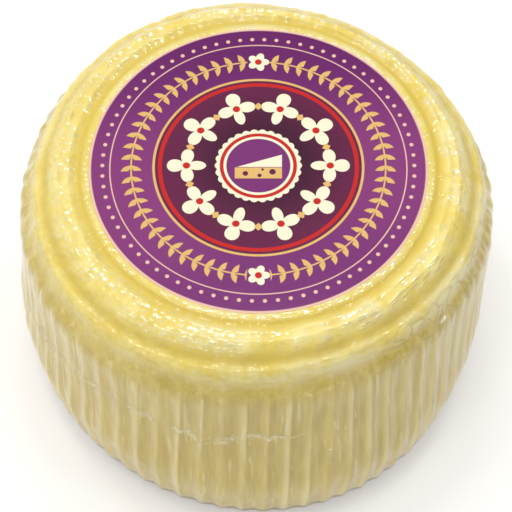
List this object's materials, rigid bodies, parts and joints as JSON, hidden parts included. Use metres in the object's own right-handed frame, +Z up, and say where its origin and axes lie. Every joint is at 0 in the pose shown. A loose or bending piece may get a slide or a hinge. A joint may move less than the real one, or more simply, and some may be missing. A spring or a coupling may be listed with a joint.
{
  "type": "kashkaval cheese wheel",
  "caption": "Whole drum-shaped kashkaval in clear shrink film gathered into upright ribs, with a ringed top face and a round printed label lying in it.",
  "frame": {"origin": "middle of the wheel's footprint, on the surface that its flat foot stands on", "axes": "+Z up, out of the label; the front of the wheel faces -Y; +X to the right as seen from the front"},
  "size_m": [0.2127, 0.2142, 0.1315],
  "materials": {
    "cheese": "waxy pale yellow cheese with a thin darker rind",
    "film": "glossy clear shrink film with fine crinkles",
    "label": "printed purple label with gold and cream, slightly glossy"
  },
  "bodies": {
    "root": {"wrapped_wheel": "cheese", "label": "label"}
  },
  "joints": []
}
